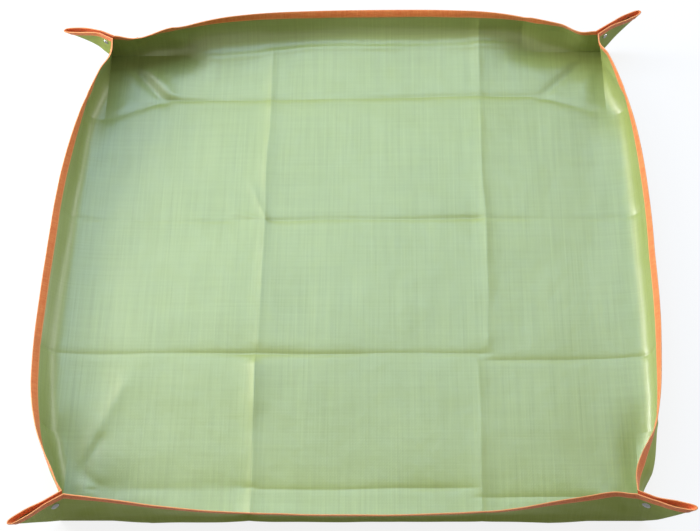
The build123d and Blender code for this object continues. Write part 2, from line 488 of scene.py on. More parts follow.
    def drawn(self, flat: np.ndarray) -> np.ndarray:
        """Moves by which the snapped corners draw the feet of their walls into the tray.

        Args:
            flat: Places on the flat cut, one row each.

        Returns:
            One vector for each row.
        """
        moves = np.zeros((len(flat), 3))
        for (wall, sign), end in WALL_ENDS.items():
            inside = wall.inside(flat)
            gap = SIZES.floor_half - sign * wall.run(flat)
            near = smooth((gap - self.draw_rise[0]) / self.draw_rise[1])
            near = near * (1.0 - smooth((gap - self.draw_fall[0]) / self.draw_fall[1]))
            fade = 1.0 - smooth(np.where(inside >= 0, inside / self.draw_reach, -inside / self.lift_end))
            moves -= wall.outward * (end.draw * near * fade)[:, None]
        return moves * self.loose(flat, self.slack)[:, None]

    def crowded(
        self, share: np.ndarray, low: float, high: float, across: int, sign: float = 1.0
    ) -> np.ndarray:
        """Places for even shares of a stretch, drawn together at the creases.

        Args:
            share: Shares of the stretch, from 0 to 1.
            low: Start of the stretch.
            high: End of the stretch.
            across: As for a fold.
            sign: -1 where the stretch runs against the axis.

        Returns:
            One place for each share.
        """
        samples, crowding, width = 4001, 2.4, 0.012
        fine = np.linspace(low, high, samples)
        density = np.ones_like(fine)
        for place in {round(fold.place, 2) for fold in self.folds if fold.across == across}:
            density += crowding * np.exp(-(((fine * sign - place) / width) ** 2))
        total = np.concatenate([[0.0], np.cumsum((density[1:] + density[:-1]) / 2)])
        return np.interp(share, total / total[-1], fine)


CREASES = CreaseMap()


# Meshes


def activate(piece: bpy.types.Object) -> None:
    """Make a piece the only one selected and the active one."""
    bpy.ops.object.select_all(action="DESELECT")
    piece.select_set(True)
    bpy.context.view_layer.objects.active = piece


def sculpt_grid(name: str, columns: int, rows: int, place: Place) -> bpy.types.Object:
    """Add a grid and move each of its points to its place.

    Args:
        name: Name of the piece.
        columns: Faces across the grid.
        rows: Faces up the grid.
        place: Gives points and map places for shares across and up the grid.

    Returns:
        The piece, with the flat map on it.
    """
    bpy.ops.object.select_all(action="DESELECT")
    bpy.ops.mesh.primitive_grid_add(x_subdivisions=columns, y_subdivisions=rows, size=1.0)
    piece = bpy.context.object
    piece.name = piece.data.name = name
    mesh = piece.data
    grid = np.empty(len(mesh.vertices) * 3, np.float32)
    mesh.vertices.foreach_get("co", grid)
    shares = np.clip(grid.reshape(-1, 3)[:, :2].astype(float) + 0.5, 0.0, 1.0)
    points, flat = place(shares[:, 0], shares[:, 1])
    mesh.vertices.foreach_set("co", points.astype(np.float32).ravel())
    corner_points = np.empty(len(mesh.loops), np.int32)
    mesh.loops.foreach_get("vertex_index", corner_points)
    flat_map = mesh.uv_layers[0]
    flat_map.name = FLAT_MAP
    flat_map.data.foreach_set("uv", flat[corner_points].astype(np.float32).ravel())
    mesh.update()
    return piece


def merge_points(piece: bpy.types.Object, close_ends: bool = False) -> None:
    """Merge points that share a place and point the faces outwards.

    Args:
        piece: The piece.
        close_ends: Whether open ends are closed.
    """
    activate(piece)
    bpy.ops.object.mode_set(mode="EDIT")
    bpy.ops.mesh.select_all(action="SELECT")
    bpy.ops.mesh.remove_doubles(threshold=1e-6)
    if close_ends:
        bpy.ops.mesh.fill_holes(sides=0)
    bpy.ops.mesh.select_all(action="SELECT")
    bpy.ops.mesh.normals_make_consistent(inside=False)
    bpy.ops.object.mode_set(mode="OBJECT")


def thicken(piece: bpy.types.Object, faces: tuple[bpy.types.Material, bpy.types.Material]) -> None:
    """Give a grid of sheet its thickness, half on each side, and its two finishes.

    Args:
        piece: The grid.
        faces: Finish of the side that the grid faces, and of the other side.
    """
    activate(piece)
    for finish in faces:
        piece.data.materials.append(finish)
    modifier = piece.modifiers.new("sheet_thickness", "SOLIDIFY")
    modifier.thickness = SIZES.sheet_thickness
    modifier.offset = 0.0
    modifier.material_offset = 1
    bpy.ops.object.modifier_apply(modifier=modifier.name)
    LOG.info("%s: %d faces", piece.name, len(piece.data.polygons))


def shade_soft(piece: bpy.types.Object, angle: float = 40.0) -> None:
    """Shade a piece smooth, apart from edges sharper than an angle in degrees."""
    activate(piece)
    bpy.ops.object.shade_smooth_by_angle(angle=math.radians(angle))


def dress(piece: bpy.types.Object, finish: bpy.types.Material, slot: Slot) -> None:
    """Give a piece its finish.

    Args:
        piece: The piece.
        finish: Its material.
        slot: Not used.
    """
    piece.data.materials.clear()
    piece.data.materials.append(finish)
    LOG.info("%s: %d faces", piece.name, len(piece.data.polygons))


# Folded corners


@dataclass
class CornerFold:
    """Planes and lines of one snapped corner."""

    corner: Corner
    foot_ease: float = 0.015  # height over which the two layers part

    def __post_init__(self) -> None:
        """Work out the flap's plane, its fold and the side of its outer layer."""
        corner = self.corner
        half, height, draw = SIZES.floor_half, SIZES.wall_height, SIZES.pinch_draw
        self.foot = np.array([corner.sign_x * half, corner.sign_y * half, SIZES.level])
        line = unit(np.array([-corner.sign_x * draw, -corner.sign_y * draw, math.sqrt(height**2 - draw**2)]))
        turn = math.radians(corner.sign_x * corner.sign_y * corner.flap_turn)
        level = np.array([corner.sign_x * math.cos(turn), corner.sign_x * math.sin(turn), 0.0])
        square = unit(level - line * level.dot(line))
        slope = math.atan2(draw, height)
        up = line * math.cos(slope) + square * math.sin(slope)
        rim = square * math.cos(slope) - line * math.sin(slope)
        self.fold = unit(up + rim)
        self.inward = unit(up - rim)
        self.normal = np.cross(self.fold, self.inward)
        self.outer_side = 1.0 if self.normal[1] * corner.sign_y > 0 else -1.0

    def side(self, layer: Layer) -> float:
        """Side of the flap's middle plane on which a layer lies."""
        return self.outer_side if layer is Layer.OUTER else -self.outer_side

    def point(self, side: np.ndarray, along: np.ndarray, up: np.ndarray, part: np.ndarray) -> np.ndarray:
        """Places on the flap.

        Args:
            side: +1 or -1 for the side of the middle plane.
            along: Distance along the rim from the floor's corner.
            up: Distance up the sheet.
            part: Distance from the layer's own plane at the fold to the middle plane.

        Returns:
            One point for each row.
        """
        spread = math.radians(SIZES.layer_spread) * side[:, None] * smooth(up / self.foot_ease)[:, None]
        inward = self.inward * np.cos(spread) + self.normal * np.sin(spread)
        normal = self.normal * np.cos(spread) - self.inward * np.sin(spread)
        ahead = (along + up)[:, None] / ROOT_TWO
        across = (up - along)[:, None] / ROOT_TWO
        return self.foot + self.fold * ahead + inward * across + normal * (side * part)[:, None]

    def hinge(self, layer: Layer, up: np.ndarray) -> np.ndarray:
        """Points of the line in which a layer leaves its wall.

        Args:
            layer: The layer.
            up: Distances up the sheet.

        Returns:
            One point for each row.
        """
        side = np.full(len(up), self.side(layer))
        part = SIZES.fold_radius * smooth(up / self.foot_ease)
        return self.point(side, -SIZES.hinge_slope * up, up, part)

    def flat(self, outer: np.ndarray, along: np.ndarray, up: np.ndarray) -> np.ndarray:
        """Places on the flat cut of points of the flap.

        Args:
            outer: Whether each point is on the outer layer.
            along: Distances along the rim from the floor's corner.
            up: Distances up the sheet.

        Returns:
            One place for each row.
        """
        x = SIZES.floor_half + np.where(outer, along, up)
        y = SIZES.floor_half + np.where(outer, up, along)
        return np.stack([self.corner.sign_x * x, self.corner.sign_y * y], axis=1)


FOLDS = {corner: CornerFold(corner) for corner in Corner}


# Pieces


@dataclass(frozen=True)
class Finishes:
    """Materials of the mat's soft pieces."""

    outside: bpy.types.Material
    inside: bpy.types.Material
    tape: bpy.types.Material
    thread: bpy.types.Material


@dataclass(frozen=True)
class EdgeTape:
    """Binding that is folded over a stretch of the sheet's edge, and the stitches that hold it."""

    face_points: int = 6
    hem_round: float = 0.0003
    shoulder: tuple[float, float] = (0.75, 0.7)  # shares of the tape's half thickness and of its crown
    lip: float = 0.6  # share of the half thickness
    stitch_pitch: float = 0.0046
    stitch_length: float = 0.0032
    stitch_radius: float = 0.000416
    stitch_inset: float = 0.0022

    def outline(self) -> np.ndarray:
        """Closed section of the tape, as distances across the sheet and up it, hem first.

        Returns:
            The section's points, the first one again at the end.
        """
        half, crown = SIZES.tape_half, SIZES.tape_crown
        hem, rim = SIZES.wall_height - SIZES.tape_width, SIZES.wall_height
        rows = np.linspace(hem + self.hem_round, rim - self.hem_round, self.face_points)
        face = [(half, up) for up in rows]
        side, rise = self.shoulder[0] * half, rim + self.shoulder[1] * crown
        top = [(side, rise), (0.0, rim + crown), (-side, rise)]
        back = [(-half, up) for _, up in reversed(face)]
        lip = [(-self.lip * half, hem), (self.lip * half, hem)]
        return np.array(face + top + back + lip + face[:1])

    def sweep(self, name: str, columns: int, surface: Surface, length: float) -> bpy.types.Object:
        """Sweep the tape along an edge.

        Args:
            name: Name of the piece.
            columns: Faces along the edge.
            surface: Points for shares along the edge, distances up the sheet and distances off it.
            length: Length of the stretch.

        Returns:
            The tape.
        """
        outline = self.outline()
        girth = np.concatenate([[0.0], np.cumsum(np.linalg.norm(np.diff(outline, axis=0), axis=1))])

        def place(share: np.ndarray, turn: np.ndarray) -> tuple[np.ndarray, np.ndarray]:
            """Points and map places for shares along the edge and round the section."""
            step = np.rint(turn * (len(outline) - 1)).astype(int)
            off, up = outline[step, 0], outline[step, 1]
            return surface(share, up, off), np.stack([share * length, girth[step]], axis=1)

        tape = sculpt_grid(name, columns, len(outline) - 1, place)
        merge_points(tape, close_ends=True)
        shade_soft(tape, 50.0)
        return tape

    def sew(self, name: str, surface: Surface, length: float) -> bpy.types.Object:
        """Sew a row of stitches on both faces of a tape.

        Args:
            name: Name of the piece.
            surface: As for the tape.
            length: Length of the stretch.

        Returns:
            All the stitches as one piece.
        """
        bpy.ops.object.select_all(action="DESELECT")
        bpy.ops.mesh.primitive_uv_sphere_add(segments=6, ring_count=5, radius=1.0)
        stitch = bpy.context.object
        bpy.ops.object.mode_set(mode="EDIT")
        bpy.ops.transform.resize(value=(1.0, 1.0, 0.7))
        bpy.ops.object.mode_set(mode="OBJECT")
        stitch.name = stitch.data.name = name
        shape = np.array([v.co for v in stitch.data.vertices])
        faces = [tuple(f.vertices) for f in stitch.data.polygons]
        count = max(2, int(length / self.stitch_pitch))
        share = (np.arange(count) + 0.5) / count
        reach = self.stitch_length / length / 2
        before, after = np.maximum(share - reach, 0.0), np.minimum(share + reach, 1.0)
        up = np.full(count, SIZES.wall_height - SIZES.tape_width + self.stitch_inset)
        size = np.array([[self.stitch_length / 2], [self.stitch_radius], [self.stitch_radius]])
        points, polygons = [], []
        for off in (SIZES.tape_half, -SIZES.tape_half):
            offs = np.full(count, off)
            middle = surface(share, up, offs)
            ahead = unit(surface(after, up, offs) - surface(before, up, offs))
            out = unit(surface(share, up, offs * 1.5) - middle)
            aside = np.cross(out, ahead)
            for i in range(count):
                start = len(points) * len(shape)
                points.append(middle[i] + shape @ (np.stack([ahead[i], aside[i], out[i]]) * size))
                polygons.extend(tuple(start + v for v in face) for face in faces)
        sewn = bpy.data.meshes.new(name)
        sewn.from_pydata(np.concatenate(points).tolist(), [], polygons)
        plain = stitch.data
        stitch.data = sewn
        bpy.data.meshes.remove(plain)
        sewn.name = name
        merge_points(stitch)
        shade_soft(stitch, 80.0)
        return stitch

    def bind(
        self, label: str, suffix: str, columns: int, surface: Surface, length: float, finishes: Finishes
    ) -> list[bpy.types.Object]:
        """Bind a stretch of edge and sew its binding.

        Args:
            label: Start of the pieces' names.
            suffix: End of their names.
            columns: Faces along the edge.
            surface: Points for shares along the edge, distances up the sheet and distances off it.
            length: Length of the stretch.
            finishes: The mat's materials.

        Returns:
            The tape and its stitches.
        """
        tape = self.sweep(f"{label}_binding_tape{suffix}", columns, surface, length)
        dress(tape, finishes.tape, Slot.BINDING)
        stitches = self.sew(f"{label}_stitches{suffix}", surface, length)
        dress(stitches, finishes.thread, Slot.BINDING)
        return [tape, stitches]


@dataclass(frozen=True)
class FloorPanel:
    """Floor of the tray, creased from its packing."""

    cells: int = 200

    def place(self, right: np.ndarray, back: np.ndarray) -> tuple[np.ndarray, np.ndarray]:
        """Lay places of the floor.

        Args:
            right: Shares from left to right.
            back: Shares from front to back.

        Returns:
            One point, and one place on the flat cut, for each row.
        """
        half = SIZES.floor_half
        x = CREASES.crowded(right, -half, half, 0)
        y = CREASES.crowded(back, -half, half, 1)
        flat = np.stack([x, y], axis=1)
        rise = CREASES.height(flat) * CREASES.beside_foot(half - np.abs(flat)) + CREASES.lifted(flat)
        return np.column_stack([flat, SIZES.level + rise]) + CREASES.drawn(flat), flat

    def build(self, finishes: Finishes) -> None:
        """Lay the floor.

        Args:
            finishes: The mat's materials.
        """
        piece = sculpt_grid("floor_sheet", self.cells, self.cells, self.place)
        thicken(piece, (finishes.inside, finishes.outside))
        shade_soft(piece)
        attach(piece, "floor")
        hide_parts("floor")


@dataclass
class WallPanel:
    """One wall of the tray, with its binding. It curves up from the floor and stands up at its ends."""

    wall: Wall
    end_length: float = 0.136  # of each end zone, along the fold
    end_reach: float = 0.120  # distance along an end zone over which the fold sharpens
    rows: int = 18
    cell: float = 0.00425
    hinge_fade: float = 0.06  # distance from a flap over which the wall is drawn onto the hinge line
    hinge_ease: float = 0.035  # distance from a flap at which the wall is creased
    foot_turn: float = 0.02  # distance up the sheet over which the creases turn from the floor's direction
    rim_wave: float = 0.0012
    wave_scale: float = 0.085
    wave_seed: int = 31
    wave_shift: float = 0.7  # between the waves of one wall and those of the next
    roll: tuple[float, float] = (0.03, 0.045)  # height at which a rim's roll starts, and its run
    roll_limit: float = 1.1  # share of the run
    pulled_rise: tuple[float, float] = (0.015, 0.05)  # distance from a corner at which pulls start, and run
    belly_fall: tuple[float, float] = (0.06, 0.09)  # the same for the end of a belly
    curl_fall: tuple[float, float] = (0.08, 0.14)  # the same for the end of a rim's roll
    settling: int = 70  # rounds in which the wall's angle settles
    first_guess: float = 0.8  # share of the full angle
    least_share: float = 0.05

    def __post_init__(self) -> None:
        """Find the folded corners at the wall's ends."""
        folds = [FOLDS[corner] for corner in Corner if self.wall.label in corner.label]
        self.near, self.far = sorted(folds, key=lambda fold: fold.foot.dot(self.wall.along))
        self.split = SIZES.floor_half - self.end_length

    def end_angle(self, fold: CornerFold) -> float:
        """Angle at which the wall stands above the ground beside a flap."""
        rim = fold.hinge(self.wall.layer, np.array([SIZES.wall_height]))[0]
        return math.acos((rim.dot(self.wall.outward) - SIZES.floor_half) / SIZES.wall_height)

    def rim_angle(self, along: np.ndarray) -> np.ndarray:
        """Angle above the ground of the line from the fold to the rim.

        Args:
            along: Distances along the fold from its middle.

        Returns:
            One angle, in radians, for each row.
        """
        share = np.clip(along / (SIZES.floor_half - SIZES.pinch_draw), -1.0, 1.0)
        end = self.end_angle(self.near) * (1 - share) / 2 + self.end_angle(self.far) * (1 + share) / 2
        middle = math.acos(self.wall.bow / SIZES.wall_height)
        ends = wall_ends(self.wall)
        fullness = self.wall.fullness + np.where(share > 0, ends[1][1].fuller, ends[0][1].fuller)
        bow = (1 - np.abs(share) ** fullness) * (1 + self.wall.shift * share)
        for sign, corner in ends:
            if corner.ease:
                bow = bow * smooth((1 - sign * share) / corner.ease)
        return end + (middle - end) * bow

    def pulled(self, along: np.ndarray, rise: np.ndarray) -> tuple[np.ndarray, np.ndarray]:
        """Depths to which the wall swells out beside a snapped corner, and to which its rim rolls in.

        Args:
            along: Distances along the fold from its middle.
            rise: Distances up the sheet from the fold.

        Returns:
            The belly's and the roll's depth for each row.
        """
        belly, curl = np.zeros_like(along), np.zeros_like(along)
        swell = np.sin(np.pi * np.clip(rise / SIZES.wall_height, 0.0, 1.0))
        roll = np.clip((rise - self.roll[0]) / self.roll[1], 0.0, self.roll_limit) ** 2
        for sign, corner in wall_ends(self.wall):
            gap = SIZES.floor_half - sign * along
            near = smooth((gap - self.pulled_rise[0]) / self.pulled_rise[1])
            falls = [1.0 - smooth((gap - start) / run) for start, run in (self.belly_fall, self.curl_fall)]
            belly += corner.belly * swell * near * falls[0]
            curl += corner.curl * roll * near * falls[1]
        return belly, curl

    def turn_share(self, along: np.ndarray, rise: np.ndarray, angle: np.ndarray) -> np.ndarray:
        """Args:
            along: Distances along the fold from its middle.
            rise: Distances up the sheet from the fold.
            angle: Angles of the places above the ground.

        Returns:
            One share for each row.
        """
        excess = np.maximum(np.abs(along) - self.split, 0.0)
        reach = rise * (np.cos(angle) + np.sin(angle)) / (ROOT_TWO * self.wall.reach)
        return smooth(reach + excess / self.end_reach)

    def base(self, along: np.ndarray, rise: np.ndarray) -> np.ndarray:
        """Points of the smooth wall.

        Args:
            along: Distances along the fold from its middle.
            rise: Distances up the sheet from the fold.

        Returns:
            One point for each row.
        """
        rim = self.rim_angle(along)
        top = np.full_like(rise, SIZES.wall_height)
        full = rim / np.maximum(self.turn_share(along, top, rim), self.least_share)
        angle = full * self.first_guess
        for _ in range(self.settling):
            angle = 0.5 * angle + 0.5 * full * self.turn_share(along, rise, angle)
        out = SIZES.floor_half + rise * np.cos(angle)
        height = SIZES.level + rise * np.sin(angle)
        return self.wall.along * along[:, None] + self.wall.outward * out[:, None] + UPWARD * height[:, None]

    def end_gap(self, along: np.ndarray, rise: np.ndarray) -> np.ndarray:
        """Distance along the sheet to the flap at the nearer end."""
        return SIZES.floor_half - SIZES.hinge_slope * rise - np.abs(along)

    def fitted(self, along: np.ndarray, rise: np.ndarray) -> np.ndarray:
        """Points of the smooth wall, drawn onto the flaps' hinge lines at its ends.

        Args:
            along: Distances along the fold from its middle.
            rise: Distances up the sheet from the fold.

        Returns:
            One point for each row.
        """
        points = self.base(along, rise)
        share = smooth(1.0 - self.end_gap(along, rise) / self.hinge_fade)
        for sign, fold in ((-1.0, self.near), (1.0, self.far)):
            here = (np.sign(along) == sign) & (share > 0)
            if here.any():
                up = rise[here]
                end = sign * (SIZES.floor_half - SIZES.hinge_slope * up)
                points[here] += share[here, None] * (fold.hinge(self.wall.layer, up) - self.base(end, up))
        return points

    def flat(self, along: np.ndarray, rise: np.ndarray) -> np.ndarray:
        """Places on the flat cut."""
        points = self.wall.along * along[:, None] + self.wall.outward * (SIZES.floor_half + rise)[:, None]
        return points[:, :2]

    def surface(self, along: np.ndarray, rise: np.ndarray, off: np.ndarray) -> np.ndarray:
        """Points on or off the creased wall.

        Args:
            along: Distances along the fold from its middle.
            rise: Distances up the sheet from the fold.
            off: Distances from the sheet, positive into the tray.

        Returns:
            One point for each row.
        """
        step = 0.0006
        ahead = self.fitted(along + step, rise) - self.fitted(along - step, rise)
        up = self.fitted(along, rise + step) - self.fitted(along, np.maximum(rise - step, 0.0))
        normal = unit(np.cross(up, ahead))
        facing = unit(UPWARD + (normal - UPWARD) * smooth(rise / self.foot_turn)[:, None])
        flat = self.flat(along, np.minimum(rise, SIZES.wall_height))
        foot = np.stack([SIZES.floor_half - np.abs(along), rise], axis=1)
        ease = smooth(self.end_gap(along, rise) / self.hinge_ease) * CREASES.beside_foot(foot)
        edge = np.stack([along, np.full_like(along, self.wall.turns * self.wave_shift)], axis=1)
        wave = lattice_noise(edge, self.wave_scale, self.wave_seed) * smooth(rise / SIZES.wall_height)
        crease = (CREASES.height(flat) + self.rim_wave * wave) * ease
        belly, curl = self.pulled(along, rise)
        points = self.fitted(along, rise) + self.wall.outward * belly[:, None] + CREASES.drawn(flat)
        points += UPWARD * CREASES.lifted(flat)[:, None] + facing * crease[:, None]
        return points + normal * (curl + off)[:, None]

    def along_at(self, zone: Zone, share: np.ndarray, rise: np.ndarray) -> np.ndarray:
        """Distance along the fold of a share of a zone.

        Args:
            zone: The zone.
            share: Shares of the zone's length.
            rise: Distances up the sheet from the fold.

        Returns:
            One distance for each row.
        """
        if zone is Zone.MIDDLE:
            across = self.wall.turns % 2
            return CREASES.crowded(share, -self.split, self.split, across, self.wall.along[across])
        length = SIZES.floor_half - SIZES.hinge_slope * rise - self.split
        return self.split + share * length if zone is Zone.FAR else -self.split - (1 - share) * length

    def blend(self, piece: bpy.types.Object, zone: Zone) -> None:
        """Bake the transform of a piece of a zone into its mesh.

        Args:
            piece: The piece.
            zone: The zone.
        """
        sign = {Zone.NEAR: -1.0, Zone.MIDDLE: 0.0, Zone.FAR: 1.0}[zone]
        start = self.wall.along * sign * self.split + self.wall.outward * SIZES.floor_half
        start = start + UPWARD * SIZES.level
        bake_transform(piece)

    def build_zone(self, zone: Zone, finishes: Finishes) -> None:
        """Make the sheet, the binding and the stitches of one zone.

        Args:
            zone: The zone.
            finishes: The mat's materials.
        """
        label = self.wall.label
        length = 2 * self.split if zone is Zone.MIDDLE else self.end_length
        rim_length = length if zone is Zone.MIDDLE else length - SIZES.pinch_draw
        columns = round(length / self.cell)

        def place(share: np.ndarray, height: np.ndarray) -> tuple[np.ndarray, np.ndarray]:
            """Points and flat places for shares of the zone's length and height."""
            rise = height * SIZES.wall_height
            along = self.along_at(zone, share, rise)
            return self.surface(along, rise, np.zeros_like(rise)), self.flat(along, rise)

        def edge(share: np.ndarray, up: np.ndarray, off: np.ndarray) -> np.ndarray:
            """Points for shares of the zone's length and distances up the sheet and off it."""
            return self.surface(self.along_at(zone, share, up), up, off)

        panel = sculpt_grid(f"{label}_wall_sheet_{zone.value}", columns, self.rows, place)
        thicken(panel, (finishes.outside, finishes.inside))
        shade_soft(panel)
        binding, sewing = EdgeTape().bind(label, f"_{zone.value}", columns, edge, rim_length, finishes)
        for piece in (panel, binding, sewing):
            self.blend(piece, zone)
        if zone is Zone.MIDDLE:
            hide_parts(f"{label}_wall")
            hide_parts(f"{label}_binding")

    def build(self, finishes: Finishes) -> None:
        """Raise the wall, bind its rim and sew the binding, zone by zone."""
        for zone in Zone:
            self.build_zone(zone, finishes)


@dataclass
class CornerFlap:
    """Flap of two layers at a snapped corner, folded on the corner's diagonal, with its binding."""

    corner: Corner
    columns: int = 56
    rows: int = 26
    crowding: float = 1.7  # draws the columns together at the fold
    nose: float = 0.003
    bulge: float = 0.0030
    bulge_nose: float = 0.011
    bulge_start: float = 0.026
    bulge_run: float = 0.035
    droop_start: float = 0.024
    droop_limit: float = 1.2
    droop_power: float = 1.25
    turn_half: float = 0.0009  # half the thickness in which the fold turns from layer to layer

    def __post_init__(self) -> None:
        """Find the corner's planes."""
        self.fold = FOLDS[self.corner]

    def spread(self, share: np.ndarray, up: np.ndarray) -> tuple[np.ndarray, np.ndarray, np.ndarray]:
        """Side, and place along the rim, of a share across the flap.

        Args:
            share: 0 at the outer layer's hinge, 0.5 at the fold and 1 at the inner layer's hinge.
            up: Distances up the sheet.

        Returns:
            Whether the place is on the outer layer, its side, and its distance along the rim.
        """
        across = 2 * share - 1
        outer = across <= 0
        hinge = -SIZES.hinge_slope * up
        along = up - (up - hinge) * np.abs(across) ** self.crowding
        side = np.where(outer, self.fold.outer_side, -self.fold.outer_side)
        return outer, side, along

    def skin(self, share: np.ndarray, up: np.ndarray) -> np.ndarray:
        """Points of the flap's sheet.

        Args:
            share: As for spread.
            up: Distances up the sheet.

        Returns:
            One point for each row.
        """
        _, side, along = self.spread(share, up)
        across = (up - along) / ROOT_TWO
        out = along + SIZES.hinge_slope * up
        tall = np.clip(up / SIZES.wall_height, 0.0, 1.0)
        nose, broad = (
            np.sqrt(np.clip(1 - (1 - np.clip(across / width, 0, 1)) ** 2, 0, 1))
            for width in (self.nose, self.bulge_nose)
        )
        swell = self.bulge * broad * smooth((out - self.bulge_start) / self.bulge_run) * tall**2
        part = SIZES.fold_radius * nose * smooth(up / self.fold.foot_ease) + swell
        reach = SIZES.wall_height + SIZES.pinch_draw - self.droop_start
        droop = np.clip((out - self.droop_start) / reach, 0.0, self.droop_limit) ** self.droop_power
        return self.fold.point(side, along, up, part) + np.array(self.corner.droop) * droop[:, None]

    def normals(self, share: np.ndarray, up: np.ndarray) -> np.ndarray:
        """Directions square to the flap's grid.

        Args:
            share: As for spread.
            up: Distances up the sheet.

        Returns:
            One unit vector for each row.
        """
        step, climb = 0.004, 0.0005
        ahead = self.skin(np.minimum(share + step, 1.0), up) - self.skin(np.maximum(share - step, 0.0), up)
        return unit(np.cross(ahead, self.skin(share, up + climb) - self.skin(share, up - climb)))

    def surface(self, share: np.ndarray, up: np.ndarray, off: np.ndarray) -> np.ndarray:
        """Points on or off the flap's sheet.

        Args:
            share: As for spread.
            up: Distances up the sheet.
            off: Distances from the sheet, positive out of the flap.

        Returns:
            One point for each row.
        """
        outer = self.normals(np.array([0.2]), np.array([SIZES.wall_height]))[0]
        facing = 1.0 if outer.dot(self.fold.normal) * self.fold.outer_side > 0 else -1.0
        return self.skin(share, up) + self.normals(share, up) * (facing * off)[:, None]

    def place(self, share: np.ndarray, height: np.ndarray) -> tuple[np.ndarray, np.ndarray]:
        """Points and flat places of the flap.

        Args:
            share: As for spread.
            height: Shares of the flap's height.

        Returns:
            One point, and one place on the flat cut, for each row.
        """
        up = height * SIZES.wall_height
        outer, _, along = self.spread(share, up)
        return self.skin(share, up), self.fold.flat(outer, along, up)

    def build(self, finishes: Finishes) -> None:
        """Fold the flap, bind its edge and sew the binding.

        Args:
            finishes: The mat's materials.
        """
        label = self.corner.label
        length = 2 * (SIZES.wall_height + SIZES.pinch_draw)
        panel = sculpt_grid(f"{label}_flap_sheet", self.columns, self.rows, self.place)
        merge_points(panel)
        thicken(panel, (finishes.outside, finishes.inside))
        shade_soft(panel, 60.0)
        binding, sewing = EdgeTape().bind(label, "", self.columns, self.surface, length, finishes)
        for piece in (panel, binding, sewing):
            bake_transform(piece)
        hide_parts(f"{label}_flap_outer", f"{label}_flap_inner")
        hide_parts(f"{label}_binding_outer", f"{label}_binding_inner")


# Finishes


class Graph:
    """Short-hand for the nodes of a tree."""

    def __init__(self, tree: bpy.types.NodeTree) -> None:
        """Take the tree to add to."""
        self.tree = tree

    def node(self, kind: str, inputs: dict | None = None, **settings: object) -> bpy.types.Node:
        """Add a node.

        Args:
            kind: Type of the node.
            inputs: Values or sockets for its inputs, by name or number.
            settings: Values for its own settings.

        Returns:
            The node.
        """
        made = self.tree.nodes.new(kind)
        for name, value in settings.items():
            setattr(made, name, value)
        self.feed(made, inputs or {})
        return made

    def feed(self, made: bpy.types.Node, inputs: dict) -> None:
        """Set or link a node's inputs.

        Args:
            made: The node.
            inputs: Values or sockets, by name or number.
        """
        for name, value in inputs.items():
            socket = made.inputs[name]
            if isinstance(value, bpy.types.NodeSocket):
                self.tree.links.new(value, socket)
            else:
                socket.default_value = value

    def math(self, operation: str, *values: object) -> bpy.types.NodeSocket:
        """Result of a Math node."""
        return self.node("ShaderNodeMath", dict(enumerate(values)), operation=operation).outputs[0]

    def noise(self, vector: bpy.types.NodeSocket, scale: float, detail: float) -> bpy.types.NodeSocket:
        """Value of a Noise Texture."""
        inputs = {"Vector": vector, "Scale": scale, "Detail": detail, "Roughness": 0.55}
        return self.node("ShaderNodeTexNoise", inputs).outputs["Fac"]

    def stretched(self, vector: bpy.types.NodeSocket, scale: tuple[float, ...]) -> bpy.types.NodeSocket:
        """Coordinates scaled on each axis."""
        return self.node("ShaderNodeMapping", {"Vector": vector, "Scale": scale}).outputs["Vector"]

    def ranged(
        self, value: bpy.types.NodeSocket, source: tuple[float, float], target: tuple[float, float]
    ) -> bpy.types.NodeSocket:
        """Value moved from one range to another."""
        inputs = {0: value, 1: source[0], 2: source[1], 3: target[0], 4: target[1]}
        return self.node("ShaderNodeMapRange", inputs).outputs[0]

    def mixed(self, share: object, first: object, second: object) -> bpy.types.NodeSocket:
        """Mix of two colours."""
        return self.node("ShaderNodeMix", {0: share, 6: first, 7: second}, data_type="RGBA").outputs[2]

    def bump(
        self, height: bpy.types.NodeSocket, strength: float, distance: float, **more: bpy.types.NodeSocket
    ) -> bpy.types.NodeSocket:
        """Normal of a surface with a height on it."""
        inputs = {"Height": height, "Strength": strength, "Distance": distance, **more}
        return self.node("ShaderNodeBump", inputs).outputs[0]


def new_group(name: str, inputs: dict[str, str], outputs: dict[str, str]) -> tuple[bpy.types.NodeTree, Graph]:
    """Start a shader node group.

    Args:
        name: Name of the group.
        inputs: Socket types by name.
        outputs: Socket types by name.

    Returns:
        The group and its graph.
    """
    tree = bpy.data.node_groups.new(name, "ShaderNodeTree")
    for socket, kind in inputs.items():
        tree.interface.new_socket(name=socket, in_out="INPUT", socket_type=kind)
    for socket, kind in outputs.items():
        tree.interface.new_socket(name=socket, in_out="OUTPUT", socket_type=kind)
    return tree, Graph(tree)


